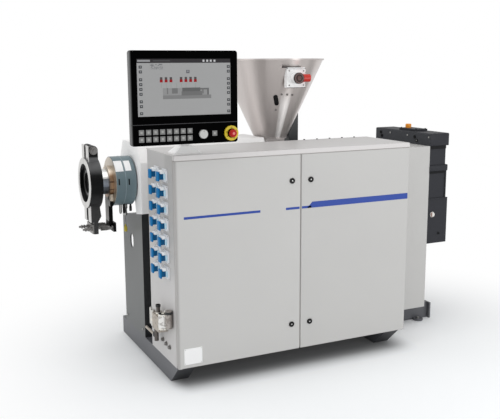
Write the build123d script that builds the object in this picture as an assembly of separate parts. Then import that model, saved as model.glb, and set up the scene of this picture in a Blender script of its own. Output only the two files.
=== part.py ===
from build123d import *
import os

# Plastic extruder: a cabinet with two doors in front of a heated barrel, with a hopper,
# a gearbox at the drive end and a clamp ring at the die end.
# Machine datum: x = 0 at the cabinet's die end, y = 0 on the door fronts, z = 0 on the floor.
# +X runs towards the drive, +Y away from the operator.

# Base frame
base_height = 107
beam_width = 100
beam_nose_top = 15
beam_nose_foot = 128
middle_beam_inset = 27
beam_beyond_axis = 272
rail_overlap = 45
end_plate_offset = 83
end_plate_thickness = 12
end_plate_reach = 23
foot_pad_radius = 32
foot_pad_thickness = 14
foot_pad_inset = 92
weld_gap = 0.3

# Cabinet
cabinet_length = 1460
cabinet_top_z = 1250
side_depth = 435
top_overhang = 15
sheet = 3
flange_width = 25
fascia_height = 24
post_width = 40
post_depth = 30

# Doors
door_thickness = 22
door_skin = 2
door_edge_radius = 5
door_seal_gap = 9.5
door_gap = 5
meeting_offset = 5
door_middle_gap = 6
door_floor_gap = 5
pivot_inset = 10
pivot_radius = 4
pivot_clearance = 0.1
pivot_engagement = 10
pivot_tab_thickness = 2.7
pivot_tab_half_width = 12

# Door locks
lock_radius = 14
lock_stand = 3
lock_shank_radius = 10
lock_shank_length = 20
lock_from_meeting = 58
lock_from_top = 142
lock_from_bottom = 150
cam_length = 34
cam_width = 12
cam_thickness = 3

# Drive housing and gearbox
drive_overlap = 120
drive_beyond_axis = 242
drive_length = 402
roof_clearance = 13
bulkhead_thickness = 20
gearbox_width = 605
gearbox_setback = 4
gearbox_head_length = 150
gearbox_head_height = 80
gearbox_height = 645
upper_case_length = 130
split_flange_drop = 165
split_flange_height = 40
split_flange_length = 146
middle_case_length = 144
lower_case_drop = 345
lower_case_length = 160
lid_size = (96, 180)
lid_thickness = 14
lid_from_front = 190
breather_radius = 20
breather_height = 26
sight_glass_radius = 19
sight_glass_stand = 9
sight_glass_from_cover = 39
sight_glass_rise = 194

# Screw axis, barrel and thrust housing
barrel_setback = 323
axis_z = 1032
barrel_radius = 75
screw_bore_radius = 25
screw_bore_depth = 500
flange_x = -262
flange_thickness = 57
flange_radius = 106
die_seat_radius = 60
die_seat_depth = 12
thrust_radius = 110
thrust_flange_lip = 25
thrust_flange_thickness = 25

# Barrel stand and cover
stand_inset = 12
stand_length = 160
stand_wall = 8
stand_drop = 177
stand_fall = 60
slot_behind_axis = 19
slot_z = 657
slot_width = 60
slot_height = 86
cover_end_gap = 35
cover_half_width = 202
cover_top_half_width = 140
cover_shoulder_rise = 120
cover_top_rise = 226
cover_belly_drop = 107
cover_foot_width = 112
cover_step_width = 22
cover_wall = 3
barrel_clearance = 0.3

# Heaters at the die end
heater_start_x = -127
heater_length = 120
heater_wall = 70
heater_edge = 3
nozzle_band_length = 24
nozzle_band_wall = 17
probe_radius = 3
probe_x = -42
probe_length = 137
probe_collar_radius = 12
probe_collar_length = 65
plug_size = (14, 20, 28)

# Clamp ring
clamp_overhang = 18
clamp_clearance = 6
clamp_wall = 35
clamp_split = 2
face_thickness = 3
tab_thickness = 4
lug_setback = 16
lug_gap = 42
lug_width = 51
lug_foot = 118
lug_depth = 53
bolt_rise = 194
lower_lug_end = 225
lower_lug_step = 34
ear_inset = 15
ear_depth = 24
ear_end = 295
clamp_bolt_radius = 9
clamp_bolt_stand = 34
washer_radius = 24
washer_height = 8
nut_radius = 20
nut_height = 16
hinge_drop = 267
hinge_rod_radius = 6
hinge_rod_start = 31
hinge_collar_radius = 11
hinge_collar_length = 10
link_plate_thickness = 8
link_plate_half_height = 27
link_plate_margin = 20
spring_radius = 14
spring_length = 40
spring_from_ear = 32
arm_half_width = 35
arm_thickness = 24
end_block_length = 16
end_block_overlap = 4
elbow_size = (22, 36, 35)

# Feed section and hopper
feed_start_x = 850
feed_length = 180
feed_half_width = 98
feed_half_height = 103
hopper_from_feed = 83
throat_half = 67
throat_height = 118
throat_wall = 6
throat_flange_half = 92
throat_flange = 10
cone_foot_radius = 108
cone_top_radius = 334
cone_height = 484
cone_wall = 3
rim_height = 10
support_width = 68
support_from_hopper = 116
sensor_from_hopper = 11
sensor_below_rim = 115
sensor_width = 124
sensor_height = 112
sensor_thickness = 34
sensor_stand_off = 11.6
sensor_bracket_thickness = 6
sensor_bracket_overhang = 8
knob_from_hopper = 6
knob_radius = 33
knob_length = 48
cap_radius = 23
cap_reach = 81

# Operator panel on its swivel neck
panel_reach = 328
panel_width = 565
panel_height = 459
panel_front_y = -50
panel_lift = 64
panel_thickness = 30
panel_corner = 14
panel_box_inset = 55
panel_box_depth = 42
screen_left = 37
screen_right = 38
screen_bottom = 143
screen_top = 40
screen_recess = 2
key_gap = 10
key_left = 51
keys_to_dial = 70
key_row_upper = 66
key_row_lower = 31
key_count = 8
key_stand = 1.5
lone_key_from_right = 128
dial_from_right = 192
dial_z = 47
dial_radius = 22
dial_height = 14
dial_gap = 0.5
dial_shaft_radius = 4
dial_shaft_depth = 12
button_from_right = 38
button_z = 46
collar_radius = 38
collar_bore = 24
collar_height = 10
mushroom_radius = 20
mushroom_height = 18
mushroom_start = 20
stem_radius = 8
stem_depth = 8
button_travel = 5
shaft_clearance = 0.1
swivel_x = 94
swivel_y = 96
swivel_foot_width = 146
swivel_foot_depth = 104
swivel_foot_head = 62
swivel_foot_lip = 8
swivel_foot_height = 44
swivel_stub_radius = 20
swivel_stub_height = 60
swivel_lift = 5
neck_sleeve_radius = 29
neck_height = 170

# Heater sockets on the cabinet's die end
socket_rows = 7
socket_pitch = 87.5
socket_from_top = 120
socket_front_y = 158
socket_rear_y = 285
socket_flange = (8, 60, 63)
socket_neck = (22, 30, 30)
socket_cap = (12, 40, 50)

# Cooling water manifold
manifold_rise = 211
manifold_y = 215
manifold_body = (52, 104, 88)
manifold_gap = 4
manifold_x = -34
strainer_radius = 29
strainer_height = 86
strainer_lift = 30
valve_radius = 19
valve_height = 95
valve_lift = 53
valve_x = -22
link_pipe_radius = 11
riser_radius = (14, 8)
riser_height = (90, 94)
riser_from_body = (34, 76)
hose_tail_radius = 11
hose_tail_rise = 56
bridge_pipe_radius = 8
bridge_pipe_lift = 82
drain_radius = 12
drain_drop = 120
drain_pipe_radius = 8
drain_pipe_lift = 24
drain_pipe_length = 178

# Worked-out sizes
axis_y = side_depth + barrel_setback
beam_back = axis_y + beam_beyond_axis
front_rail_y = side_depth - rail_overlap
end_plate_front = front_rail_y - end_plate_reach
middle_beam_x = cabinet_length - middle_beam_inset - beam_width
door_meeting_x = cabinet_length / 2 + meeting_offset
door_top_z = cabinet_top_z - fascia_height - door_gap
door_bottom_z = base_height + door_floor_gap
left_door_end_x = door_meeting_x - door_middle_gap / 2
right_door_start_x = door_meeting_x + door_middle_gap / 2
lock_upper_z = door_top_z - lock_from_top
lock_lower_z = door_bottom_z + lock_from_bottom
frame_y = door_thickness + door_seal_gap
floor_top_z = base_height + sheet
fascia_bottom_z = cabinet_top_z - fascia_height
pivot_y = door_thickness / 2
thrust_flange_radius = thrust_radius + thrust_flange_lip
drive_front_y = side_depth - drive_overlap
drive_back_y = axis_y + drive_beyond_axis
drive_top_z = axis_z + thrust_flange_radius + roof_clearance
drive_end_x = cabinet_length + drive_length
end_plate_x = drive_end_x + end_plate_offset
gearbox_bottom_z = drive_top_z - gearbox_height
split_flange_z = drive_top_z - split_flange_drop
lower_case_z = drive_top_z - lower_case_drop
sight_glass_z = gearbox_bottom_z + sight_glass_rise
stand_front_y = axis_y - cover_half_width + stand_inset
stand_back_y = axis_y + cover_half_width - stand_inset
stand_top_z = axis_z - stand_drop
slot_y = axis_y + slot_behind_axis
heater_end_x = heater_start_x + heater_length
heater_radius = barrel_radius + heater_wall
nozzle_band_x = heater_start_x - nozzle_band_length
nozzle_band_radius = barrel_radius + nozzle_band_wall
clamp_front_x = flange_x - clamp_overhang
clamp_end_x = flange_x + flange_thickness
clamp_inner_radius = flange_radius + clamp_clearance
clamp_outer_radius = clamp_inner_radius + clamp_wall
lug_x = clamp_front_x + lug_setback
lug_mid_x = lug_x + lug_depth / 2
lug_inner = lug_gap / 2
lug_outer = lug_inner + lug_width
lug_middle = lug_inner + lug_width / 2
bolt_z = axis_z + bolt_rise
ear_x = lug_x + ear_inset
hinge_z = axis_z - hinge_drop
feed_end_x = feed_start_x + feed_length
feed_top_z = axis_z + feed_half_height
cover_length = feed_start_x - cover_end_gap
hopper_x = feed_start_x + hopper_from_feed
cone_foot_z = feed_top_z + throat_height
cone_slope = (cone_top_radius - cone_foot_radius) / cone_height
rim_z = cone_foot_z + cone_height
support_x = hopper_x + support_from_hopper
sensor_x = hopper_x + sensor_from_hopper
sensor_z = rim_z - sensor_below_rim
sensor_top_z = sensor_z + sensor_height / 2
sensor_face_y = axis_y - cone_foot_radius - (sensor_top_z - cone_foot_z) * cone_slope - sensor_stand_off
knob_x = hopper_x + knob_from_hopper
thrust_end_x = drive_end_x - bulkhead_thickness
swivel_z = cabinet_top_z + swivel_foot_height + swivel_lift
panel_left_x = swivel_x - panel_reach
panel_bottom_z = cabinet_top_z + panel_lift
panel_back_y = panel_front_y + panel_thickness
screen_width = panel_width - screen_left - screen_right
screen_height = panel_height - screen_bottom - screen_top
dial_x = panel_width - dial_from_right
lone_key_x = panel_width - lone_key_from_right
button_x = panel_width - button_from_right
key_pitch = (dial_x - keys_to_dial - key_left) / (key_count - 1)
key_size = key_pitch - key_gap
socket_top_z = cabinet_top_z - socket_from_top
manifold_z = base_height + manifold_rise


def block(x0, x1, y0, y1, z0, z1):
    """Box between two corners."""
    return Pos((x0 + x1) / 2, (y0 + y1) / 2, (z0 + z1) / 2) * Box(x1 - x0, y1 - y0, z1 - z0)


def rod_x(x0, x1, y, z, radius):
    """Round bar along X."""
    return Pos((x0 + x1) / 2, y, z) * Rot(0, 90, 0) * Cylinder(radius, x1 - x0)


def rod_y(y0, y1, x, z, radius):
    """Round bar along Y."""
    return Pos(x, (y0 + y1) / 2, z) * Rot(90, 0, 0) * Cylinder(radius, y1 - y0)


def rod_z(z0, z1, x, y, radius):
    """Round bar along Z."""
    return Pos(x, y, (z0 + z1) / 2) * Cylinder(radius, z1 - z0)


def prism_x(points, x0, x1):
    """Outline of (y, z) points drawn out along X."""
    outline = make_face(Polyline([(x0, y, z) for y, z in points], close=True))
    return extrude(outline, amount=x1 - x0, dir=(1, 0, 0))


def prism_y(points, y0, y1):
    """Outline of (x, z) points drawn out along Y."""
    outline = make_face(Polyline([(x, y0, z) for x, z in points], close=True))
    return extrude(outline, amount=y1 - y0, dir=(0, 1, 0))


def base_beam(x0):
    """Cross beam of the base, with its front end cut back towards the floor."""
    side = [(beam_nose_top, base_height), (beam_nose_foot, 0), (beam_back, 0), (beam_back, base_height)]
    return prism_x(side, x0, x0 + beam_width)


def base_rail(y0):
    """Lengthwise rail in two bays between the cross beams."""
    bays = [(beam_width, middle_beam_x), (middle_beam_x + beam_width, end_plate_x)]
    return [block(x0 + weld_gap, x1 - weld_gap, y0, y0 + beam_width, 0, base_height) for x0, x1 in bays]


def base_end_plate():
    """Plate across the drive end of the rails, with two round fixing pads on the floor."""
    plate = block(
        end_plate_x, end_plate_x + end_plate_thickness, end_plate_front, beam_back, 0, base_height
    )
    pad_x = end_plate_x - foot_pad_inset
    pads = [
        rod_z(0, foot_pad_thickness, pad_x, front_rail_y - foot_pad_radius * 0.8, foot_pad_radius),
        rod_z(0, foot_pad_thickness, pad_x, beam_back + foot_pad_radius * 0.8, foot_pad_radius),
    ]
    rails = block(0, end_plate_x, front_rail_y, beam_back, 0, base_height)
    return [plate] + [pad - rails for pad in pads]


def stand_top_at(y):
    """Height of the stand's sloping top at this depth."""
    return stand_top_z - (y - stand_front_y) * stand_fall / (stand_back_y - stand_front_y)


def barrel_stand():
    """Folded column under the barrel, open to the rear, with a slot in each side wall."""
    y0, y1 = stand_front_y, stand_back_y
    column = prism_x([(y0, base_height), (y0, stand_top_at(y0)), (y1, stand_top_at(y1)),
                      (y1, base_height)], 0, stand_length)
    inner_y, past_y, floor_z = y0 + stand_wall, y1 + 1, base_height + stand_wall
    hollow = prism_x([(inner_y, floor_z), (inner_y, stand_top_at(inner_y) - stand_wall),
                      (past_y, stand_top_at(past_y) - stand_wall), (past_y, floor_z)],
                     stand_wall, stand_length - stand_wall)
    slot_radius = slot_width / 2
    reach = slot_height / 2 - slot_radius
    slot = block(-1, stand_length + 1, slot_y - slot_radius, slot_y + slot_radius,
                 slot_z - reach, slot_z + reach)
    for end_z in (slot_z - reach, slot_z + reach):
        slot += rod_x(-1, stand_length + 1, slot_y, end_z, slot_radius)
    return column - hollow - slot


def barrel_cover():
    """Sheet cover round the heated barrel, with a foot on the front of the stand's sloping top."""
    front, back = axis_y - cover_half_width, axis_y + cover_half_width
    foot_back = front + cover_foot_width
    belly_z, shoulder_z = axis_z - cover_belly_drop, axis_z + cover_shoulder_rise
    top_z = axis_z + cover_top_rise
    points = [
        (front, stand_top_at(front)), (foot_back, stand_top_at(foot_back)),
        (foot_back + cover_step_width, belly_z), (back, belly_z), (back, shoulder_z),
        (axis_y + cover_top_half_width, top_z), (axis_y - cover_top_half_width, top_z),
        (front, shoulder_z),
    ]
    outline = make_face(Polyline([(0, y, z) for y, z in points], close=True))
    inner = offset(outline, amount=-cover_wall, kind=Kind.INTERSECTION)
    shell = extrude(outline, amount=cover_length, dir=(1, 0, 0))
    shell -= Pos(cover_wall, 0, 0) * extrude(inner, amount=cover_length - cover_wall * 2, dir=(1, 0, 0))
    return shell - rod_x(-1, cover_length + 1, axis_y, axis_z, barrel_radius + barrel_clearance)


def barrel():
    """Barrel with the seat for a die and the screw's bore in its end."""
    body = rod_x(flange_x, feed_start_x, axis_y, axis_z, barrel_radius)
    body -= rod_x(flange_x, flange_x + die_seat_depth, axis_y, axis_z, die_seat_radius)
    return body - rod_x(flange_x, flange_x + screw_bore_depth, axis_y, axis_z, screw_bore_radius)


def barrel_flange():
    """Flange shrunk on the barrel's end, inside the clamp ring."""
    ring = rod_x(flange_x, clamp_end_x, axis_y, axis_z, flange_radius)
    return ring - rod_x(flange_x - 1, clamp_end_x + 1, axis_y, axis_z, barrel_radius)


def heater_cover():
    """Round sheet cover over the last heater bands."""
    drum = rod_x(heater_start_x, heater_end_x, axis_y, axis_z, heater_radius)
    drum = chamfer(drum.edges().filter_by(GeomType.CIRCLE), heater_edge)
    bore = barrel_radius + barrel_clearance
    return drum - rod_x(heater_start_x - 1, heater_end_x + 1, axis_y, axis_z, bore)


def nozzle_band():
    """Copper-coloured band heater on the barrel, in front of the heater cover."""
    band = rod_x(nozzle_band_x, heater_start_x, axis_y, axis_z, nozzle_band_radius)
    bore = barrel_radius + barrel_clearance
    return band - rod_x(nozzle_band_x - 1, heater_start_x + 1, axis_y, axis_z, bore)


def melt_probe():
    """Temperature probe hanging under the heater cover, with its plug."""
    top_z = axis_z - heater_radius
    collar = rod_z(top_z - probe_collar_length, top_z, probe_x, axis_y, probe_collar_radius)
    stem = rod_z(top_z - probe_length, top_z, probe_x, axis_y, probe_radius)
    width, depth, height = plug_size
    plug_top = top_z - probe_length
    plug = block(probe_x - width / 2, probe_x + width / 2, axis_y - depth / 2, axis_y + depth / 2,
                 plug_top - height, plug_top)
    seat = rod_x(heater_start_x, heater_end_x, axis_y, axis_z, heater_radius + barrel_clearance)
    longer = rod_z(top_z, top_z + heater_edge, probe_x, axis_y, probe_collar_radius)
    return collar + stem + plug + (longer - seat)


def side_range(side, near, far):
    """Depth range between two distances from the screw axis, on its front (-1) or rear (1) side."""
    ends = (axis_y + side * near, axis_y + side * far)
    return min(ends), max(ends)


def half_ring(side, x0, x1):
    """Half of the clamp's ring between two planes along the machine."""
    ring = rod_x(x0, x1, axis_y, axis_z, clamp_outer_radius)
    ring -= rod_x(x0 - 1, x1 + 1, axis_y, axis_z, clamp_inner_radius)
    y0, y1 = side_range(side, clamp_split / 2, clamp_outer_radius + 1)
    return ring & block(x0, x1, y0, y1, axis_z - clamp_outer_radius, axis_z + clamp_outer_radius)


def clamp_half(side):
    """One half of the clamp ring with its upper bolt lug and its lower hinge lug."""
    y0, y1 = side_range(side, lug_inner, lug_outer)
    upper = block(lug_x, lug_x + lug_depth, y0, y1, axis_z + lug_foot, bolt_z)
    upper += rod_y(y0, y1, lug_mid_x, bolt_z, lug_depth / 2)
    lower = prism_y([
        (lug_x, axis_z - lug_foot), (lug_x, axis_z - lower_lug_end), (ear_x, axis_z - lower_lug_end),
        (ear_x, axis_z - ear_end), (ear_x + ear_depth, axis_z - ear_end),
        (ear_x + ear_depth, axis_z - lower_lug_end), (clamp_end_x, axis_z - lower_lug_end + lower_lug_step),
        (lug_x + lug_depth, axis_z - clamp_outer_radius), (lug_x + lug_depth, axis_z - lug_foot),
    ], y0, y1)
    half = half_ring(side, clamp_front_x + face_thickness, clamp_end_x) + upper + lower
    half -= rod_y(y0 - 1, y1 + 1, lug_mid_x, bolt_z, clamp_bolt_radius + barrel_clearance)
    return half - rod_x(ear_x - 1, ear_x + ear_depth + 1, axis_y + side * lug_middle, hinge_z,
                        hinge_rod_radius + barrel_clearance)


def clamp_face(side):
    """Machined front plate of a clamp half, and a bright strip on the front of each lug."""
    face = half_ring(side, clamp_front_x, clamp_front_x + face_thickness)
    y0, y1 = side_range(side, lug_inner, lug_outer)
    strips = block(lug_x - tab_thickness, lug_x, y0, y1, axis_z - lower_lug_end, bolt_z + lug_depth / 2)
    strips -= rod_x(lug_x - tab_thickness - 1, lug_x + 1, axis_y, axis_z, clamp_outer_radius)
    return [face] + [strip for strip in strips.solids()]


def clamp_bolt():
    """Cross bolt through the two upper lugs, with a washer and a nut at each end."""
    bolt = rod_y(axis_y - lug_outer - clamp_bolt_stand, axis_y + lug_outer + clamp_bolt_stand,
                 lug_mid_x, bolt_z, clamp_bolt_radius)
    for side in (-1, 1):
        washer_end = lug_outer + washer_height
        y0, y1 = side_range(side, lug_outer, washer_end)
        bolt += rod_y(y0, y1, lug_mid_x, bolt_z, washer_radius)
        nut = extrude(Plane.XZ * RegularPolygon(nut_radius, 6), amount=nut_height / 2, both=True)
        bolt += Pos(lug_mid_x, axis_y + side * (washer_end + nut_height / 2), bolt_z) * nut
    return bolt


def clamp_hinge():
    """Two hinge rods through the lower lugs, with a link plate, collars and springs."""
    y0, y1 = axis_y - lug_middle - link_plate_margin, axis_y + lug_middle + link_plate_margin
    parts = block(ear_x - link_plate_thickness, ear_x, y0, y1,
                  hinge_z - link_plate_half_height, hinge_z + link_plate_half_height)
    plate_x = ear_x - link_plate_thickness
    spring_x = ear_x + ear_depth + spring_from_ear
    for y in (axis_y - lug_middle, axis_y + lug_middle):
        parts += rod_x(clamp_front_x - hinge_rod_start, heater_start_x, y, hinge_z, hinge_rod_radius)
        parts += rod_x(plate_x - hinge_collar_length, plate_x, y, hinge_z, hinge_collar_radius)
        parts += rod_x(spring_x, spring_x + spring_length, y, hinge_z, spring_radius)
    return parts


def hinge_arm():
    """Arm from under the nozzle band to the block that holds the hinge rods' ends."""
    arm_x = heater_start_x - arm_thickness
    y0, y1 = axis_y - lug_middle - hinge_collar_radius, axis_y + lug_middle + hinge_collar_radius
    arm = block(arm_x, heater_start_x, axis_y - arm_half_width, axis_y + arm_half_width, hinge_z, axis_z)
    arm -= rod_x(arm_x - 1, heater_start_x + 1, axis_y, axis_z, nozzle_band_radius)
    width, depth, height = elbow_size
    elbow_top = axis_z - nozzle_band_radius - hinge_collar_radius
    arm += block(arm_x, arm_x + width - end_block_overlap, axis_y - arm_half_width - depth,
                 axis_y - arm_half_width, elbow_top - height, elbow_top)
    block_x = heater_start_x - end_block_overlap
    arm += block(block_x, block_x + end_block_length, y0, y1, hinge_z - link_plate_half_height,
                 hinge_z + link_plate_half_height)
    for y in (axis_y - lug_middle, axis_y + lug_middle):
        arm -= rod_x(arm_x - 1, heater_start_x, y, hinge_z, hinge_rod_radius)
    return arm


def cabinet_side(x0, inward):
    """End wall of the cabinet with a return flange along the door opening."""
    wall = block(x0, x0 + sheet, frame_y, side_depth, base_height, cabinet_top_z - sheet)
    inner = x0 + sheet if inward > 0 else x0
    outer = inner + inward * flange_width
    flange = block(min(inner, outer), max(inner, outer), frame_y, frame_y + sheet,
                   floor_top_z, fascia_bottom_z)
    return wall + flange


def pivot_pins(z0, z1):
    """Upright door pins near both outer front corners."""
    return [
        rod_z(z0, z1, x, pivot_y, pivot_radius)
        for x in (pivot_inset, cabinet_length - pivot_inset)
    ]


def cabinet_top():
    """Top sheet with the fascia above the doors and the two upper door pins."""
    top = block(0, cabinet_length, 0, side_depth + top_overhang, cabinet_top_z - sheet, cabinet_top_z)
    top += block(0, cabinet_length, 0, frame_y, fascia_bottom_z, cabinet_top_z - sheet)
    side_walls = block(-1, cabinet_length + 1, frame_y, side_depth, 0, cabinet_top_z - sheet)
    top -= side_walls
    for pin in pivot_pins(door_top_z - pivot_engagement, fascia_bottom_z):
        top += pin
    return top


def cabinet_floor():
    """Floor sheet with two tabs in front that carry the lower door pins."""
    floor = block(sheet, cabinet_length - sheet, frame_y, side_depth - sheet, base_height, floor_top_z)
    tab_top = base_height + pivot_tab_thickness
    for x in (pivot_inset, cabinet_length - pivot_inset):
        x0, x1 = max(x - pivot_tab_half_width, sheet), min(x + pivot_tab_half_width, cabinet_length - sheet)
        floor += block(x0, x1, pivot_y - pivot_radius, frame_y, base_height, tab_top)
    for pin in pivot_pins(tab_top - 1, door_bottom_z + pivot_engagement):
        floor += pin
    return floor


def cabinet_back():
    """Back wall between the two end walls."""
    return block(sheet, cabinet_length - sheet, side_depth - sheet, side_depth,
                 base_height, cabinet_top_z - sheet)


def centre_post():
    """Upright between the two door openings."""
    x0 = door_meeting_x - post_width / 2
    return block(x0, x0 + post_width, frame_y, frame_y + post_depth, floor_top_z, cabinet_top_z - sheet)


def door(x0, x1, pivot_x):
    """Door tray folded from sheet, with a pin hole in its top and bottom edges."""
    tray = block(x0, x1, 0, door_thickness, door_bottom_z, door_top_z)
    front_edges = tray.edges().filter_by(Axis.Z).group_by(Axis.Y)[0]
    tray = fillet(front_edges, door_edge_radius)
    tray -= block(x0 + door_skin, x1 - door_skin, door_skin, door_thickness + 1,
                  door_bottom_z + door_skin, door_top_z - door_skin)
    hole = rod_z(0, cabinet_top_z, pivot_x, pivot_y, pivot_radius + pivot_clearance)
    for lock_z in (lock_upper_z, lock_lower_z):
        shank = lock_shank_radius + pivot_clearance
        tray -= rod_y(-1, door_skin + 1, lock_x(pivot_x), lock_z, shank)
    return tray - hole


def lock_x(pivot_x):
    """Lock line of the door that hangs on this pivot."""
    side = -1 if pivot_x < door_meeting_x else 1
    return door_meeting_x + side * lock_from_meeting


def door_locks(pivot_x):
    """Quarter-turn locks of one door, drawn unlocked with their cams upright."""
    locks = []
    for lock_z in (lock_upper_z, lock_lower_z):
        x = lock_x(pivot_x)
        lock = rod_y(-lock_stand, 0, x, lock_z, lock_radius)
        lock += rod_y(0, lock_shank_length, x, lock_z, lock_shank_radius)
        cam_y = lock_shank_length
        lock += block(x - cam_width / 2, x + cam_width / 2, cam_y - cam_thickness, cam_y,
                      lock_z - cam_width / 2, lock_z + cam_length)
        locks.append(lock)
    return locks


def drive_housing():
    """Sheet housing of the drive, open to the base and to the bulkhead."""
    x0, x1 = cabinet_length, drive_end_x
    shell = block(x0, x1, drive_front_y, drive_back_y + sheet, base_height, drive_top_z)
    shell -= block(x0 + sheet, x1 + 1, drive_front_y + sheet, drive_back_y,
                   base_height - 1, drive_top_z - sheet)
    shell -= block(x0 - 1, x0 + sheet + 1, drive_front_y + sheet, side_depth - sheet,
                   base_height - 1, drive_top_z - sheet)
    return shell - rod_x(x0 - 1, x0 + sheet + 1, axis_y, axis_z, thrust_radius + barrel_clearance)


def drive_bulkhead():
    """Thick upright plate on the rails that carries the gearbox and the thrust housing."""
    return block(thrust_end_x, drive_end_x, drive_front_y + sheet, drive_back_y,
                 base_height, drive_top_z - sheet)


def gearbox_case():
    """Gear case in three steps with a flange along its split line."""
    front, back = drive_front_y + gearbox_setback, drive_front_y + gearbox_width - gearbox_setback
    x0, flange_top = drive_end_x, split_flange_z + split_flange_height
    case = block(x0, x0 + upper_case_length, front, back, split_flange_z, drive_top_z)
    case += block(x0, x0 + middle_case_length, front, back, lower_case_z, split_flange_z)
    case += block(x0, x0 + lower_case_length, front, back, gearbox_bottom_z, lower_case_z)
    case += block(x0, x0 + split_flange_length, drive_front_y, drive_front_y + gearbox_width,
                  split_flange_z, flange_top)
    return case


def gearbox_head():
    """Wider head of the gearbox, with its top edges chamfered."""
    head = block(drive_end_x, drive_end_x + gearbox_head_length, drive_front_y,
                 drive_front_y + gearbox_width, drive_top_z, drive_top_z + gearbox_head_height)
    return chamfer(head.edges().group_by(Axis.Z)[-1], gearbox_setback)


def gearbox_lid():
    """Inspection plate on the head."""
    x_mid = drive_end_x + gearbox_head_length / 2
    y0 = drive_front_y + lid_from_front
    head_top = drive_top_z + gearbox_head_height
    length, width = lid_size
    return block(x_mid - length / 2, x_mid + length / 2, y0, y0 + width,
                 head_top, head_top + lid_thickness)


def breather_cap():
    """Ribbed breather cap on the inspection plate."""
    x_mid = drive_end_x + gearbox_head_length / 2
    base_z = drive_top_z + gearbox_head_height + lid_thickness
    y_mid = drive_front_y + lid_from_front + lid_size[1] * 0.8
    cap = rod_z(base_z, base_z + breather_height, x_mid, y_mid, breather_radius)
    return chamfer(cap.edges().filter_by(GeomType.CIRCLE).group_by(Axis.Z)[-1], gearbox_setback)


def oil_sight_glass():
    """Domed oil level glass on the front of the gear case."""
    front = drive_front_y + gearbox_setback
    glass = rod_y(front - sight_glass_stand, front, drive_end_x + sight_glass_from_cover,
                  sight_glass_z, sight_glass_radius)
    return chamfer(glass.edges().filter_by(GeomType.CIRCLE).group_by(Axis.Y)[0], sight_glass_stand / 2)


def thrust_housing():
    """Round housing of the thrust bearing between the feed section and the bulkhead."""
    body = rod_x(feed_end_x, thrust_end_x, axis_y, axis_z, thrust_radius)
    for x0 in (feed_end_x, thrust_end_x - thrust_flange_thickness):
        body += rod_x(x0, x0 + thrust_flange_thickness, axis_y, axis_z, thrust_flange_radius)
    return body


def feed_section():
    """Block under the hopper where the barrel meets the thrust housing."""
    body = block(feed_start_x, feed_end_x, axis_y - feed_half_width, axis_y + feed_half_width,
                 axis_z - feed_half_height, feed_top_z)
    hole = throat_half - throat_wall
    return body - block(hopper_x - hole, hopper_x + hole, axis_y - hole, axis_y + hole,
                        axis_z, feed_top_z + 1)


def hopper_throat():
    """Square throat with a flange at each end, from the feed section to the hopper."""
    def plate(half, z0, z1):
        return block(hopper_x - half, hopper_x + half, axis_y - half, axis_y + half, z0, z1)

    throat = plate(throat_half, feed_top_z, cone_foot_z)
    throat += plate(throat_flange_half, feed_top_z, feed_top_z + throat_flange)
    throat += rod_z(cone_foot_z - throat_flange, cone_foot_z, hopper_x, axis_y, cone_foot_radius)
    return throat - plate(throat_half - throat_wall, feed_top_z - 1, cone_foot_z + 1)


def cone_solid(inset, z0, z1):
    """Solid cone of the hopper's wall, inset from its outer face, between two heights."""
    low = cone_foot_radius + (z0 - cone_foot_z) * cone_slope - inset
    high = cone_foot_radius + (z1 - cone_foot_z) * cone_slope - inset
    return Pos(hopper_x, axis_y, (z0 + z1) / 2) * Cone(low, high, z1 - z0)


def hopper_cone():
    """Open sheet cone with a flat foot ring and a turned rim."""
    cone = cone_solid(0, cone_foot_z, rim_z)
    cone += rod_z(rim_z - rim_height, rim_z, hopper_x, axis_y, cone_top_radius + cone_wall)
    cone -= cone_solid(cone_wall * 1.1, cone_foot_z - 1, rim_z + 1)
    return cone


def hopper_support():
    """Post on the thrust housing, cut to the slope of the cone that leans on it."""
    post = block(support_x, support_x + support_width, axis_y - support_width / 2,
                 axis_y + support_width / 2, axis_z, rim_z)
    post -= cone_solid(-barrel_clearance, cone_foot_z - 1, rim_z + 1)
    above = block(hopper_x - cone_top_radius, hopper_x + cone_top_radius * 2,
                  axis_y - cone_top_radius, axis_y + cone_top_radius, cone_foot_z, rim_z + 1)
    outside = above - cone_solid(-barrel_clearance, cone_foot_z - 1, rim_z + 2)
    post -= above - outside
    post -= rod_x(feed_end_x, thrust_end_x, axis_y, axis_z, thrust_radius)
    return post - rod_x(feed_end_x, feed_end_x + thrust_flange_thickness, axis_y, axis_z,
                        thrust_flange_radius)


def level_sensor():
    """Flat sensor box held in front of the cone by a bracket plate on its top."""
    x0, x1 = sensor_x - sensor_width / 2, sensor_x + sensor_width / 2
    z0, z1 = sensor_z - sensor_height / 2, sensor_z + sensor_height / 2
    box = block(x0, x1, sensor_face_y, sensor_face_y + sensor_thickness, z0, z1)
    bracket = block(x0, x1 - sensor_bracket_overhang, sensor_face_y - sensor_bracket_overhang,
                    axis_y, z1, z1 + sensor_bracket_thickness)
    return (box + bracket) - cone_solid(-barrel_clearance, cone_foot_z, rim_z)


def sensor_knob():
    """Round sensor head on the front of the box."""
    return rod_y(sensor_face_y - knob_length, sensor_face_y, knob_x, sensor_z, knob_radius)


def sensor_cap():
    """Signal cap that stands out sideways from the round sensor head."""
    middle_y = sensor_face_y - knob_length / 2
    cap = rod_x(knob_x, knob_x + cap_reach, middle_y, sensor_z, cap_radius)
    return cap - rod_y(sensor_face_y - knob_length - 1, sensor_face_y + 1, knob_x, sensor_z,
                       knob_radius)


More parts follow.
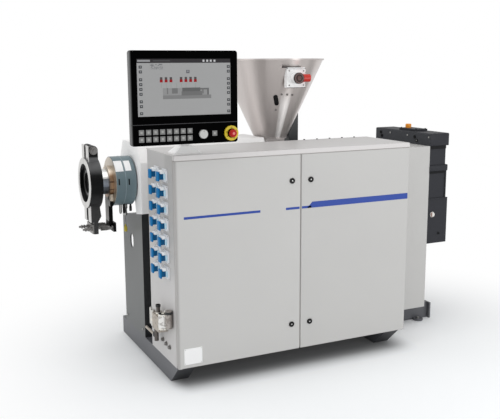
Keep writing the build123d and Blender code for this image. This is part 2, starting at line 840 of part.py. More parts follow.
def swivel_foot():
    """Flared foot on the cabinet top with the stub that the neck turns on."""
    stub_z = cabinet_top_z + swivel_foot_height
    low = Pos(swivel_x, swivel_y, cabinet_top_z + swivel_foot_lip)
    lip = block(swivel_x - swivel_foot_width / 2, swivel_x + swivel_foot_width / 2,
                swivel_y - swivel_foot_depth / 2, swivel_y + swivel_foot_depth / 2,
                cabinet_top_z, cabinet_top_z + swivel_foot_lip)
    flare = loft([
        low * Rectangle(swivel_foot_width, swivel_foot_depth),
        Pos(swivel_x, swivel_y, stub_z) * Rectangle(swivel_foot_head, swivel_foot_head),
    ])
    foot = lip + flare
    return foot + rod_z(stub_z - 1, stub_z + swivel_stub_height, swivel_x, swivel_y, swivel_stub_radius)


def swivel_neck():
    """Sleeve that turns on the stub, with a block that carries the operator panel."""
    top_z = swivel_z + neck_height
    neck = rod_z(swivel_z, top_z, swivel_x, swivel_y, neck_sleeve_radius)
    box_back = panel_back_y + panel_box_depth
    arm_z = top_z - neck_sleeve_radius * 2
    neck += block(swivel_x - neck_sleeve_radius, swivel_x + neck_sleeve_radius, box_back, swivel_y,
                  arm_z, top_z)
    stub_top = cabinet_top_z + swivel_foot_height + swivel_stub_height
    return neck - rod_z(swivel_z - 1, stub_top + 1, swivel_x, swivel_y,
                        swivel_stub_radius + shaft_clearance)


def panel_point(right, up):
    """Place on the operator panel, measured from its lower left corner."""
    return panel_left_x + right, panel_bottom_z + up


def panel_housing():
    """Slim operator panel with a deeper box on its back, a screen recess and a button bore."""
    x1, z1 = panel_left_x + panel_width, panel_bottom_z + panel_height
    frame = block(panel_left_x, x1, panel_front_y, panel_back_y, panel_bottom_z, z1)
    frame = fillet(frame.edges().filter_by(Axis.Y), panel_corner)
    frame += block(panel_left_x + panel_box_inset, x1 - panel_box_inset, panel_back_y,
                   panel_back_y + panel_box_depth, panel_bottom_z + panel_box_inset / 2,
                   z1 - panel_box_inset)
    sx, sz = panel_point(screen_left, screen_bottom)
    frame -= block(sx, sx + screen_width, panel_front_y - 1, panel_front_y + screen_recess,
                   sz, sz + screen_height)
    bx, bz = panel_point(button_x, button_z)
    bore_end = panel_front_y + stem_depth + button_travel + 1
    frame -= rod_y(panel_front_y - 1, bore_end, bx, bz, stem_radius + shaft_clearance)
    dx, dz = panel_point(dial_x, dial_z)
    shaft_end = panel_front_y + dial_shaft_depth + 1
    return frame - rod_y(panel_front_y - 1, shaft_end, dx, dz, dial_shaft_radius + shaft_clearance)


def panel_screen():
    """Screen glass in its recess."""
    sx, sz = panel_point(screen_left, screen_bottom)
    return block(sx, sx + screen_width, panel_front_y + screen_recess / 2,
                 panel_front_y + screen_recess, sz, sz + screen_height)


def panel_keys():
    """Two rows of keys and one key by itself under the screen."""
    places = [(key_left + i * key_pitch, row) for row in (key_row_upper, key_row_lower)
              for i in range(key_count)]
    places.append((lone_key_x, (key_row_upper + key_row_lower) / 2))
    keys = []
    for right, up in places:
        x, z = panel_point(right, up)
        half = key_size / 2
        keys.append(block(x - half, x + half, panel_front_y - key_stand, panel_front_y,
                          z - half, z + half))
    return keys


def panel_dial():
    """Round turning knob."""
    x, z = panel_point(dial_x, dial_z)
    back = panel_front_y - dial_gap
    dial = rod_y(back - dial_height, back, x, z, dial_radius)
    dial = chamfer(dial.edges().filter_by(GeomType.CIRCLE).group_by(Axis.Y)[0], key_stand)
    return dial + rod_y(back - 1, panel_front_y + dial_shaft_depth, x, z, dial_shaft_radius)


def stop_collar():
    """Collar round the emergency stop button."""
    x, z = panel_point(button_x, button_z)
    collar = rod_y(panel_front_y - collar_height, panel_front_y, x, z, collar_radius)
    return collar - rod_y(panel_front_y - collar_height - 1, panel_front_y + 1, x, z, collar_bore)


def stop_button():
    """Mushroom button on a stem that slides in the panel."""
    x, z = panel_point(button_x, button_z)
    back = panel_front_y - mushroom_start
    button = rod_y(back - mushroom_height, back, x, z, mushroom_radius)
    button = fillet(button.edges().filter_by(GeomType.CIRCLE).group_by(Axis.Y)[0], mushroom_height / 2)
    return button + rod_y(back - 1, panel_front_y + stem_depth, x, z, stem_radius)


def heater_sockets():
    """Two columns of sockets on the cabinet's end wall, each with a neck and a hinged cap."""
    sockets = []
    for y in (socket_front_y, socket_rear_y):
        for row in range(socket_rows):
            z = socket_top_z - row * socket_pitch
            socket, x = None, 0
            for depth, width, height in (socket_flange, socket_neck, socket_cap):
                piece = block(x - depth, x, y - width / 2, y + width / 2, z - height / 2, z + height / 2)
                socket = piece if socket is None else socket + piece
                x -= depth
            sockets.append(socket)
    return sockets


def water_manifold():
    """Cooling water distributor on the cabinet's end wall: block, strainer, valve and pipes."""
    reach, width, height = manifold_body
    y0, y1 = manifold_y - width / 2, manifold_y + width / 2
    strainer_y = y0 - manifold_gap - strainer_radius
    valve_y = strainer_y - strainer_radius - manifold_gap - valve_radius
    link_z = manifold_z + strainer_lift
    bridge_z = manifold_z + bridge_pipe_lift
    body = block(-reach, 0, y0, y1, manifold_z - height / 2, manifold_z + height / 2)
    body += rod_z(link_z - strainer_height / 2, link_z + strainer_height / 2, manifold_x, strainer_y,
                  strainer_radius)
    body += rod_z(manifold_z + valve_lift - valve_height / 2, manifold_z + valve_lift + valve_height / 2,
                  valve_x, valve_y, valve_radius)
    body += rod_y(valve_y, y0 + 1, (valve_x + manifold_x) / 2, link_z, link_pipe_radius)
    body += rod_y(valve_y, strainer_y, valve_x, bridge_z, bridge_pipe_radius)
    body += rod_z(link_z, bridge_z, valve_x, strainer_y, bridge_pipe_radius)
    body += rod_z(manifold_z, manifold_z + hose_tail_rise + height / 2, manifold_x, manifold_y,
                  hose_tail_radius)
    for radius, tall, away in zip(riser_radius, riser_height, riser_from_body):
        body += rod_z(manifold_z - tall / 2, manifold_z + tall / 2, manifold_x, y1 + away, radius)
    body += rod_y(y1 - 1, y1 + riser_from_body[-1], manifold_x, manifold_z, bridge_pipe_radius)
    drain_y = y1 - drain_radius
    drain_z = manifold_z - drain_drop
    body += rod_z(drain_z, manifold_z, manifold_x, drain_y, drain_radius)
    return body + rod_y(drain_y, drain_y + drain_pipe_length, manifold_x, drain_z + drain_pipe_lift,
                        drain_pipe_radius)


nodes = {
    "base_beam_left": base_beam(0),
    "base_beam_middle": base_beam(middle_beam_x),
    "base_rail_front": base_rail(front_rail_y),
    "base_rail_rear": base_rail(beam_back - beam_width),
    "base_end_plate": base_end_plate(),
    "barrel_stand": barrel_stand(),
    "barrel_cover": barrel_cover(),
    "barrel": barrel(),
    "barrel_flange": barrel_flange(),
    "heater_cover": heater_cover(),
    "nozzle_band": nozzle_band(),
    "melt_probe": melt_probe(),
    "clamp_half_front": clamp_half(-1),
    "clamp_half_rear": clamp_half(1),
    "clamp_face_front": clamp_face(-1),
    "clamp_face_rear": clamp_face(1),
    "clamp_bolt": clamp_bolt(),
    "clamp_hinge": clamp_hinge(),
    "hinge_arm": hinge_arm(),
    "cabinet_side_left": cabinet_side(0, 1),
    "cabinet_side_right": cabinet_side(cabinet_length - sheet, -1),
    "cabinet_top": cabinet_top(),
    "cabinet_floor": cabinet_floor(),
    "cabinet_back": cabinet_back(),
    "centre_post": centre_post(),
    "door_left": door(0, left_door_end_x, pivot_inset),
    "door_right": door(right_door_start_x, cabinet_length, cabinet_length - pivot_inset),
    "locks_left": door_locks(pivot_inset),
    "locks_right": door_locks(cabinet_length - pivot_inset),
    "drive_housing": drive_housing(),
    "drive_bulkhead": drive_bulkhead(),
    "gearbox_case": gearbox_case(),
    "gearbox_head": gearbox_head(),
    "gearbox_lid": gearbox_lid(),
    "breather_cap": breather_cap(),
    "oil_sight_glass": oil_sight_glass(),
    "thrust_housing": thrust_housing(),
    "feed_section": feed_section(),
    "hopper_throat": hopper_throat(),
    "hopper_cone": hopper_cone(),
    "hopper_support": hopper_support(),
    "level_sensor": level_sensor(),
    "sensor_knob": sensor_knob(),
    "sensor_cap": sensor_cap(),
    "swivel_foot": swivel_foot(),
    "swivel_neck": swivel_neck(),
    "panel_housing": panel_housing(),
    "panel_screen": panel_screen(),
    "panel_keys": panel_keys(),
    "panel_dial": panel_dial(),
    "stop_collar": stop_collar(),
    "stop_button": stop_button(),
    "heater_sockets": heater_sockets(),
    "water_manifold": water_manifold(),
}

# The row's origin is under the middle of the machine, on the floor.
shapes = {}
for name, shape in nodes.items():
    shapes[name] = Compound(children=shape) if isinstance(shape, list) else shape
whole = Compound(children=[Compound(shape.solids()) for shape in shapes.values()]).bounding_box()
to_origin = Pos(-(whole.min.X + whole.max.X) / 2, -(whole.min.Y + whole.max.Y) / 2, 0)

os.makedirs("parts", exist_ok=True)
for name, shape in shapes.items():
    export_step(to_origin * shape, f"parts/{name}.step")
print("origin in machine datum", (whole.min.X + whole.max.X) / 2, (whole.min.Y + whole.max.Y) / 2)
print("size", whole.size.X, whole.size.Y, whole.size.Z)
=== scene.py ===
import bpy, math
from mathutils import Matrix, Vector


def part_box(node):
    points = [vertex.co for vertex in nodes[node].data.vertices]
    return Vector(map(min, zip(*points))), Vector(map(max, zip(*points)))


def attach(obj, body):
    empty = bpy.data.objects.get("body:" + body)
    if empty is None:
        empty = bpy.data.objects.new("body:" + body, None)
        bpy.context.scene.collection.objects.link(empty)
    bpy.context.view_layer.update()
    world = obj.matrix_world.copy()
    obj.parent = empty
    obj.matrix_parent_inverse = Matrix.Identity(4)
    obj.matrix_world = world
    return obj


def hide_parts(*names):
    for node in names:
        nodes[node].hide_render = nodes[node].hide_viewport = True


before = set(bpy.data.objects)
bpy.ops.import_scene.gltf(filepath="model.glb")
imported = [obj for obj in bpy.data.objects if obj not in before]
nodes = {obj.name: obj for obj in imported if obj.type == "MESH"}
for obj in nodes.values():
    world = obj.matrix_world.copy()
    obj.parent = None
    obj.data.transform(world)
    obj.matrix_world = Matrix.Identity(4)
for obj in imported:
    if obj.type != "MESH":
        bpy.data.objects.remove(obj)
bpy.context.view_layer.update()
bpy.ops.object.select_all(action="DESELECT")

# Camera: the photograph's view over the left front corner of the cabinet, from a little above
# the operator panel's middle. Its place is measured in metres from that corner.
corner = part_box("cabinet_top")[0]
camera_data = bpy.data.cameras.new("camera")
camera_data.lens = 55.93
camera_data.sensor_width = 36
camera = bpy.data.objects.new("camera", camera_data)
bpy.context.scene.collection.objects.link(camera)
beside_cabinet, before_doors, eye_height = 1.341, 3.6792, 1.7066
camera.location = (corner.x - beside_cabinet, corner.y - before_doors, eye_height)
heading, pitch, roll = (math.radians(angle) for angle in (-25.615, 79.382, -0.28))
turn = Matrix.Rotation(heading, 4, "Z") @ Matrix.Rotation(pitch, 4, "X")
camera.rotation_euler = (turn @ Matrix.Rotation(roll, 4, "Z")).to_euler()
bpy.context.scene.camera = camera

# Light: a white photo studio, dimmer for the object than the backdrop is for the camera, with one
# large soft box overhead, one at the die end and a smaller one before the doors.
world = bpy.data.worlds.new("studio")
bpy.context.scene.world = world
world.use_nodes = True
world.node_tree.nodes.clear()
add, join = world.node_tree.nodes.new, world.node_tree.links.new
seen = add("ShaderNodeLightPath")
clear_ray = add("ShaderNodeMath")
clear_ray.operation = "MAXIMUM"
dim, white = add("ShaderNodeBackground"), add("ShaderNodeBackground")
for wall, strength in ((dim, 0.75), (white, 1.0)):
    wall.inputs["Color"].default_value = (1, 1, 1, 1)
    wall.inputs["Strength"].default_value = strength
mixed = add("ShaderNodeMixShader")
out = add("ShaderNodeOutputWorld")
join(seen.outputs["Is Camera Ray"], clear_ray.inputs[0])
join(seen.outputs["Is Transmission Ray"], clear_ray.inputs[1])
join(clear_ray.outputs[0], mixed.inputs[0])
join(dim.outputs[0], mixed.inputs[1])
join(white.outputs[0], mixed.inputs[2])
join(mixed.outputs[0], out.inputs["Surface"])
bpy.context.scene.view_settings.view_transform = "Standard"

lamp_aim = Vector((0, 0, 0.8))
for name, place, width, height, watts in (
    ("overhead_box", (-0.6, -0.8, 4.6), 3.2, 3.2, 35),
    ("die_end_box", (-4.2, -0.6, 2.4), 2.4, 2.4, 15),
    ("door_box", (1.72, -3.04, 1.4), 1.1, 1.0, 16),
):
    lamp_data = bpy.data.lights.new(name, "AREA")
    lamp_data.shape = "RECTANGLE"
    lamp_data.size, lamp_data.size_y = width, height
    lamp_data.energy = watts
    lamp = bpy.data.objects.new(name, lamp_data)
    bpy.context.scene.collection.objects.link(lamp)
    lamp.location = place
    lamp.rotation_euler = (lamp_aim - Vector(place)).to_track_quat("-Z", "Y").to_euler()


# Floor: the studio's seamless white floor, a matt paper sweep that takes the machine's soft shadow
# and fades into the backdrop. Under the machine, where little light gets in, a painted shadow
# darkens the paper.
class Wire:
    """One output of a finish's nodes; sums, products and comparisons of wires add Math nodes."""

    def __init__(self, finish, socket):
        self.finish, self.socket = finish, socket

    def math(self, operation, first, second):
        return self.finish.make("ShaderNodeMath", {"operation": operation}, {0: first, 1: second})

    def __add__(self, other):
        return self.math("ADD", self, other)

    def __radd__(self, other):
        return self.math("ADD", other, self)

    def __sub__(self, other):
        return self.math("SUBTRACT", self, other)

    def __rsub__(self, other):
        return self.math("SUBTRACT", other, self)

    def __mul__(self, other):
        return self.math("MULTIPLY", self, other)

    def __rmul__(self, other):
        return self.math("MULTIPLY", other, self)

    def __gt__(self, other):
        return self.math("GREATER_THAN", self, other)

    def __lt__(self, other):
        return self.math("LESS_THAN", self, other)


class Finish:
    """A surface finish: a material of nodes on Object coordinates with one Principled shader."""

    def __init__(self, name, constants=None):
        self.material = bpy.data.materials.new(name)
        self.material.use_nodes = True
        self.tree = self.material.node_tree
        self.shader = self.tree.nodes["Principled BSDF"]
        for socket, value in (constants or {}).items():
            self.shader.inputs[socket].default_value = value

    def make(self, kind, settings, inputs, output=0):
        """Add a node with its settings, and the values or wires of its inputs."""
        node = self.tree.nodes.new(kind)
        for setting, value in settings.items():
            if setting == "stops":
                ends = node.color_ramp.elements
                ends[0].position, ends[0].color = value[0]
                ends[1].position, ends[1].color = value[-1]
                for place, shade in value[1:-1]:
                    ends.new(place).color = shade
            else:
                setattr(node, setting, value)
        for name, value in inputs.items():
            if isinstance(value, Wire):
                self.tree.links.new(value.socket, node.inputs[name])
            else:
                node.inputs[name].default_value = value
        return Wire(self, node.outputs[output])

    def grain(self, size, stretch=(1, 1, 1), detail=2.0):
        """Noise on Object coordinates: grains of about this size in millimetres."""
        where = self.make("ShaderNodeTexCoord", {}, {}, "Object")
        place = self.make("ShaderNodeMapping", {}, {"Vector": where, "Scale": stretch})
        return self.make("ShaderNodeTexNoise", {}, {
            "Vector": place, "Scale": 1000 / size, "Detail": detail})

    def place(self):
        """Millimetres along X, Y and Z from the foot of the cabinet's front corner."""
        where = self.make("ShaderNodeTexCoord", {}, {}, "Object")
        x, y, z = (self.make("ShaderNodeSeparateXYZ", {}, {"Vector": where}, axis)
                   for axis in "XYZ")
        return (x - corner.x) * 1000, (y - corner.y) * 1000, z * 1000

    def soft_step(self, wire, start, end):
        """0 before one value of a wire, 1 past another, and smooth between the two."""
        return self.make("ShaderNodeMapRange", {"interpolation_type": "SMOOTHSTEP"},
                         {"Value": wire, "From Min": start, "From Max": end})

    def ramp(self, factor, stops):
        """A colour ramp over a factor, with stops of a place and a colour."""
        return self.make("ShaderNodeValToRGB", {"stops": stops}, {"Fac": factor})

    def blend(self, factor, first, second):
        """A colour between two, by a wire."""
        ends = {0: factor, 6: first, 7: second}
        return self.make("ShaderNodeMix", {"data_type": "RGBA"}, ends, 2)

    def lay(self, colour):
        """Make a wire the finish's colour."""
        self.colour = colour
        self.feed("Base Color", colour)

    def paint(self, mask, colour):
        """Lay another colour over it where the mask is 1."""
        self.lay(self.blend(mask, self.colour, colour))

    def feed(self, socket, wire):
        """Let a wire drive one of the shader's sockets."""
        self.tree.links.new(wire.socket, self.shader.inputs[socket])

    def relief(self, height, depth, strength):
        """Bump in millimetres of depth."""
        self.feed("Normal", self.make("ShaderNodeBump", {}, {
            "Height": height, "Distance": depth / 1000, "Strength": strength}))


def inside(wire, low, high):
    """1 where a wire is between two values."""
    return (wire > low) * (wire < high)


def tone(red, green, blue, factor=1.0):
    """A screen colour as a linear one, brightened or dimmed by a factor."""
    return tuple(min(1, factor * (v / 255) ** 2.2) for v in (red, green, blue)) + (1,)


paper = Finish("studio_paper", {"Roughness": 0.9, "Specular IOR Level": 0.1})
looked_at = (paper.make("ShaderNodeLightPath", {}, {}, "Is Camera Ray")
             + paper.make("ShaderNodeLightPath", {}, {}, "Is Glossy Ray"))
pulp = paper.grain(900)
paper.lay(paper.blend(pulp, tone(250, 252, 254), tone(252, 254, 255)))
where = paper.make("ShaderNodeTexCoord", {}, {}, "Object")
east, north = (paper.make("ShaderNodeSeparateXYZ", {}, {"Vector": where}, axis) for axis in "XY")
# Painted shadow: the paper is painted dark under the machine's footprint.
painted_shadow_under_machine = (paper.soft_step(east, -0.90, -0.78) * paper.soft_step(east, 0.72, 0.50)
                 * paper.soft_step(north, -0.62, -0.36) * paper.soft_step(north, 0.50, 0.36))
paper.paint(painted_shadow_under_machine * 0.85, tone(60, 61, 64))
paper_glow, backdrop_glow = 0.025, 1.0
glow = paper.make("ShaderNodeEmission", {}, {
    "Color": (1, 1, 1, 1), "Strength": looked_at * paper_glow})
lit = paper.make("ShaderNodeAddShader", {}, {0: Wire(paper, paper.shader.outputs[0]), 1: glow})
fade_middle, fade_start, fade_end = (0.1, -0.35, 0), 0.9, 2.4
away = paper.make("ShaderNodeVectorMath", {"operation": "DISTANCE"},
                  {0: where, 1: fade_middle}, "Value")
fade = paper.soft_step(away, fade_start, fade_end)
backdrop = paper.make("ShaderNodeEmission", {}, {"Color": (1, 1, 1, 1), "Strength": backdrop_glow})
sweep = paper.make("ShaderNodeMixShader", {}, {0: fade * looked_at, 1: lit, 2: backdrop})
paper.tree.links.new(sweep.socket, paper.tree.nodes["Material Output"].inputs["Surface"])
bpy.ops.mesh.primitive_plane_add(size=60, location=(0, 0, -0.0005))
floor = bpy.context.object
floor.name = "floor"
floor.data.materials.append(paper.material)


# Base frame: two cross beams, lengthwise rails and an end plate of welded steel, enamelled satin
# dark grey. The beams' noses are cut back at a slant, and a painted shade darkens their slanted
# faces. A bolt holds each fixing pad to the floor.
def painted(name, colour, roughness, peel=1.6, mottle=0.03, coat=0.0, gloss=0.5):
    """Powder coat or enamel: a faint mottle, an uneven gloss and the coat's orange peel."""
    finish = Finish(name, {
        "Coat Weight": coat, "Coat Roughness": 0.15, "Specular IOR Level": gloss})
    cloud = finish.grain(380, detail=3.0)
    skin = finish.grain(peel)
    finish.lay(finish.blend(cloud, tone(*colour, 1 - mottle), tone(*colour, 1 + mottle)))
    finish.feed("Roughness", roughness + (cloud - 0.5) * 0.1 + (skin - 0.5) * 0.12)
    finish.relief(skin, 0.05, 0.35)
    return finish


def bare_metal(name, colour, roughness, stretch=(1, 1, 1), grain=40.0, wear=0.12, metallic=1.0):
    """Machined or brushed metal. Tool marks lie closest along a stretch's largest number."""
    finish = Finish(name, {"Metallic": metallic})
    marks = finish.grain(grain, stretch, 3.0)
    cloud = finish.grain(140)
    finish.lay(finish.blend(marks * 0.6 + cloud * 0.4, tone(*colour, 1 - wear),
                            tone(*colour, 1 + wear)))
    finish.feed("Roughness", roughness + (marks - 0.5) * 0.16)
    finish.relief(marks, 0.02, 0.3)
    return finish


def dress(finish, *names):
    """Give CAD nodes a finish."""
    for name in names:
        slots = nodes[name].data.materials
        slots.clear()
        slots.append(finish.material)


def spot(x, y, z):
    """A place in millimetres from the foot of the cabinet's front corner at the die end."""
    return Vector((corner.x + x / 1000, corner.y + y / 1000, z / 1000))


def bar(low, high, edge=0.0, steps=2):
    """A block between two corners in millimetres, with its edges rounded off."""
    bpy.ops.object.select_all(action="DESELECT")
    start, end = spot(*low), spot(*high)
    bpy.ops.mesh.primitive_cube_add(size=1, location=(start + end) / 2, scale=end - start)
    bpy.ops.object.transform_apply(location=True, rotation=True, scale=True)
    if edge:
        bpy.ops.object.mode_set(mode="EDIT")
        bpy.ops.mesh.select_all(action="SELECT")
        bpy.ops.mesh.bevel(offset=edge / 1000, segments=steps, affect="EDGES")
        bpy.ops.object.mode_set(mode="OBJECT")
        bpy.ops.object.shade_smooth_by_angle(angle=math.radians(35))
    return bpy.context.object


def turned(foot, along, steps, sides=32):
    """A turned piece: from its foot along an axis, each step a distance and a radius."""
    along = Vector(along).normalized()
    last, radius = steps[0]
    bpy.ops.object.select_all(action="DESELECT")
    bpy.ops.mesh.primitive_circle_add(
        vertices=sides, radius=radius / 1000, fill_type="NGON",
        location=spot(*foot) + along * last / 1000,
        rotation=Vector((0, 0, 1)).rotation_difference(along).to_euler())
    bpy.ops.object.transform_apply(location=True, rotation=True, scale=True)
    bpy.ops.object.mode_set(mode="EDIT")
    bpy.ops.mesh.select_all(action="SELECT")
    for distance, next_radius in steps[1:]:
        bpy.ops.mesh.extrude_region_move(
            TRANSFORM_OT_translate={"value": tuple(along * (distance - last) / 1000)})
        bpy.ops.transform.resize(value=(next_radius / radius,) * 3,
                                 center_override=tuple(spot(*foot) + along * distance / 1000))
        last, radius = distance, next_radius
    bpy.ops.mesh.select_all(action="SELECT")
    bpy.ops.mesh.normals_make_consistent(inside=False)
    bpy.ops.object.mode_set(mode="OBJECT")
    bpy.ops.object.shade_smooth_by_angle(angle=math.radians(35))
    return bpy.context.object


def joined(pieces):
    """Several modelled shells as one piece."""
    bpy.ops.object.select_all(action="DESELECT")
    for piece in pieces:
        piece.select_set(True)
    bpy.context.view_layer.objects.active = pieces[0]
    if len(pieces) > 1:
        bpy.ops.object.join()
    return pieces[0]


def spread(piece, shifts):
    """The piece and its copies at these shifts in millimetres, each with its own mesh, as one."""
    copies = [piece]
    for shift in shifts:
        bpy.ops.object.select_all(action="DESELECT")
        piece.select_set(True)
        bpy.context.view_layer.objects.active = piece
        bpy.ops.object.duplicate()
        bpy.ops.transform.translate(value=tuple(Vector(shift) / 1000))
        bpy.ops.object.transform_apply(location=True, rotation=True, scale=True)
        copies.append(bpy.context.object)
    return joined(copies)


def settle(piece, name, finish, body="machine"):
    """Name a finished piece, coat it, and let it ride on its body."""
    piece.name = name
    piece.data.materials.clear()
    piece.data.materials.append(finish.material)
    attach(piece, body)
    return piece


def hex_bolt(foot, along, across, height):
    """A hexagon head with a chamfered crown on a washer."""
    washer_radius, washer_top, head_radius = across * 0.62, across * 0.1, across * 0.56
    washer = turned(foot, along, [(0, washer_radius), (washer_top, washer_radius)], 24)
    head = turned(foot, along, [(washer_top, head_radius), (height * 0.85, head_radius),
                                (height, across * 0.48)], 6)
    return joined([washer, head])


def cap_screw(foot, along, radius, height):
    """A round socket head with a chamfered rim and a hollow key hole."""
    return turned(foot, along, [(0, radius), (height * 0.85, radius), (height, radius * 0.85),
                                (height, radius * 0.5), (height * 0.4, radius * 0.45)], 20)


base_enamel = painted("base_enamel", (93, 94, 98), 0.42, peel=2.2)
x, y, z = base_enamel.place()
nose_y, nose_height, nose_length, allowance = 15, 107, 113, 60
# Painted shade: the slanted nose faces are painted darker.
nose_painted_shade = y * nose_height + z * nose_length < (
    nose_y * nose_height + nose_height * nose_length + allowance)
base_enamel.paint(nose_painted_shade, tone(56, 57, 60))
dress(base_enamel, "base_beam_left", "base_beam_middle", "base_rail_front", "base_rail_rear",
      "base_end_plate", "drive_bulkhead")
zinc = bare_metal("zinc_plate", (178, 178, 176), 0.35, grain=9)
up = (0, 0, 1)
pad_bolts = spread(hex_bolt((1853, 364, 14), up, 16, 9), [(0, 692, 0)])
settle(pad_bolts, "pad_bolts", zinc)

# Cabinet: end walls, back, floor and top of folded sheet, powder coated light grey. A painted shade
# darkens the end wall towards its top and its front edge and makes the cabinet's bottom near black,
# and a painted highlight lightens the top sheet's front strip. Small cap screws hold the top sheet
# down along its back edge. Rubber seals lie in the doors' gaps.
wall_coat = painted("wall_coat", (197, 195, 194), 0.46)
top_coat = painted("top_coat", (196, 194, 193), 0.40)
x, y, z = wall_coat.place()
end_wall, cabinet_bottom_shade = x < 40, z < 107.4
front_edge_shade = wall_coat.soft_step(y, 175, 120)
upper_wall_shade = wall_coat.soft_step(z, 520, 860)
# Painted shade: the end wall darker towards its top and its front edge, the bottom near black.
wall_coat.paint(upper_wall_shade * end_wall * 0.6, tone(172, 171, 170))
wall_coat.paint(front_edge_shade * upper_wall_shade * end_wall * 0.7, tone(164, 163, 161))
wall_coat.paint(cabinet_bottom_shade, tone(40, 41, 43))
dress(wall_coat, "cabinet_side_left", "cabinet_side_right", "cabinet_floor", "cabinet_back",
      "centre_post")
x, y, z = top_coat.place()
# Painted highlight: the top sheet's front strip above the doors is painted lighter.
highlight_above_doors = y < 0.5
top_coat.paint(highlight_above_doors, tone(214, 211, 210))
dress(top_coat, "cabinet_top")
black_oxide = bare_metal("black_oxide", (52, 52, 54), 0.42, grain=12, metallic=0.6)
top_screw = cap_screw((1004, 443, 1250), up, 5.5, 4.4)
top_screws = spread(top_screw, [(90 * n, 0, 0) for n in range(1, 5)])
settle(top_screws, "top_screws", black_oxide)
seal_rubber = painted("seal_rubber", (188, 184, 181), 0.7, peel=3.0, gloss=0.2)
seals = [bar(low, high, edge, 1) for low, high, edge in (
    ((3, 1.2, 1221.8), (1457, 21, 1226.2), 0.8), ((1, 27, 118), (26, 31.7, 1244), 1.2),
    ((1434, 27, 118), (1459, 31.7, 1244), 1.2), ((733.4, 6, 118), (736.6, 31.7, 1220), 0.8))]
settle(joined(seals), "door_seals", seal_rubber)

# Doors: two trays of folded sheet in the same coat, hung on pins at their outer edges. A blue film
# stripe runs across both, broader past a slant on the right one. Each has two round quarter-turn
# locks, black with a bright core. A painted shade darkens the left door's outer fold.
door_coat = painted("door_coat", (194, 193, 191), 0.44)
left_door_fold_shade_coat = painted("left_door_fold_shade_coat", (198, 197, 195), 0.44)
x, y, z = left_door_fold_shade_coat.place()
# Painted shade: the left door darker along its outer fold.
left_door_fold_shade_coat.paint(left_door_fold_shade_coat.soft_step(x, 15, 3), tone(170, 168, 166))
dress(left_door_fold_shade_coat, "door_left")
dress(door_coat, "door_right")
stripe_film = painted("stripe_film", (29, 66, 156), 0.32, peel=4.0, mottle=0.02)
stripe_face, stripe_back, stripe_low, stripe_high = -0.5, 0.2, 919.5, 932.5
band_start, band_end, band_high, slant = 774, 1455, 953.5, 33
for name, body, ends in (("stripe_left", "door_left", ((45, 485), (641, 726))),
                         ("stripe_right", "door_right", ((741, 800),))):
    strips = [bar((x0, stripe_face, stripe_low), (x1, stripe_back, stripe_high), 0.1, 1)
              for x0, x1 in ends]
    if body == "door_right":
        band = bar((band_start, stripe_face, stripe_low), (band_end, stripe_back, band_high))
        past_end = spot(band_start + 0.1, 0, stripe_high)
        for vertex in band.data.vertices:
            vertex.select = vertex.co.x < past_end.x and vertex.co.z > past_end.z
        for edge in band.data.edges:
            edge.select = all(band.data.vertices[v].select for v in edge.vertices)
        for face in band.data.polygons:
            face.select = False
        bpy.ops.object.mode_set(mode="EDIT")
        bpy.ops.mesh.select_mode(type="VERT")
        bpy.ops.transform.translate(value=(slant / 1000, 0, 0))
        bpy.ops.object.mode_set(mode="OBJECT")
        strips.append(band)
    settle(joined(strips), name, stripe_film, body)

gloss_black = painted("gloss_black", (16, 16, 18), 0.34, peel=3.0, gloss=0.25)
dress(gloss_black, "locks_left", "locks_right")
bright_core = bare_metal("bright_core", (205, 205, 203), 0.25, grain=5)
forward = (0, -1, 0)
lock_face, lock_high, lock_low = -3, 1079, 262
for side, lock_x in (("left", 679), ("right", 796)):
    lock = (lock_x, lock_face, lock_high)
    ring = turned(lock, forward, [(0, 15.8), (1.4, 15.8), (2.4, 14.6), (2.4, 5.4), (0.4, 5.0)])
    core = turned(lock, forward, [(0.2, 3.8), (1.6, 3.8), (2.0, 3.2), (2.0, 1.4), (0.8, 1.2)], 20)
    for kind, piece, finish in (("ring", ring, gloss_black), ("core", core, bright_core)):
        settle(spread(piece, [(0, 0, lock_low - lock_high)]), f"lock_{kind}_{side}", finish,
               f"door_{side}")

# Plain plate: a thin sheet in a white coat with nothing on it, low on the left door. Four small
# bright rivets hold its corners.
plate_white = painted("plate_white", (246, 246, 246), 0.35, peel=4.0, mottle=0.01)
plate = bar((32.5, -1.2, 131), (134.5, 0.2, 219.5), 0.4, 1)
settle(plate, "plain_plate", plate_white, "door_left")
rivet = turned((38, -1.2, 137), forward, [(0, 2.6), (0.7, 2.3), (1.1, 1.2)], 16)
rivets = spread(rivet, [(91, 0, 0), (0, 0, 77), (91, 0, 77)])
settle(rivets, "plate_rivets", bright_core, "door_left")

# Barrel stand and cover: a folded column under the barrel in mid grey enamel, its face towards the
# cabinet painted near black as a painted shade, and a pale sheet cover with chamfered shoulders
# screwed together over it.
stand_enamel = painted("stand_enamel", (98, 100, 100), 0.45, peel=2.2)
x, y, z = stand_enamel.place()
# Painted shade: the stand's face towards the cabinet, in the gap's shade, is painted near black.
stand_face_shade = y < 568.6
stand_enamel.paint(stand_face_shade, tone(40, 42, 44))
dress(stand_enamel, "barrel_stand")
cover_coat = painted("cover_coat", (254, 252, 251), 0.42)
dress(cover_coat, "barrel_cover")
cover_screw = cap_screw((40, 960, 900), (0, 1, 0), 4.5, 3)
other_places = [(dx, 0, dz) for dz in (0, 215) for dx in (0, 245, 490, 735)][1:]
settle(spread(cover_screw, other_places), "cover_screws", zinc)
die_end = (-1, 0, 0)
stand_bolt = hex_bolt((0, 600, 150), die_end, 13, 7)
settle(spread(stand_bolt, [(0, 310, 0)]), "stand_bolts", zinc)

# Barrel: a nitrided steel tube with turned rings. Between its flange and the heaters its neck has a
# painted shade on its lower side and a painted highlight on its crown; its end and its end flange
# are near black. Band heaters sit on it: a copper-coloured one with a painted highlight on its top,
# and two under a round sheet cover in blue-grey enamel with a bare steel end. The cover's strap,
# wire slots and two plain white plates lie on its curve.
barrel_y, barrel_z, cover_radius = 758, 1032, 145


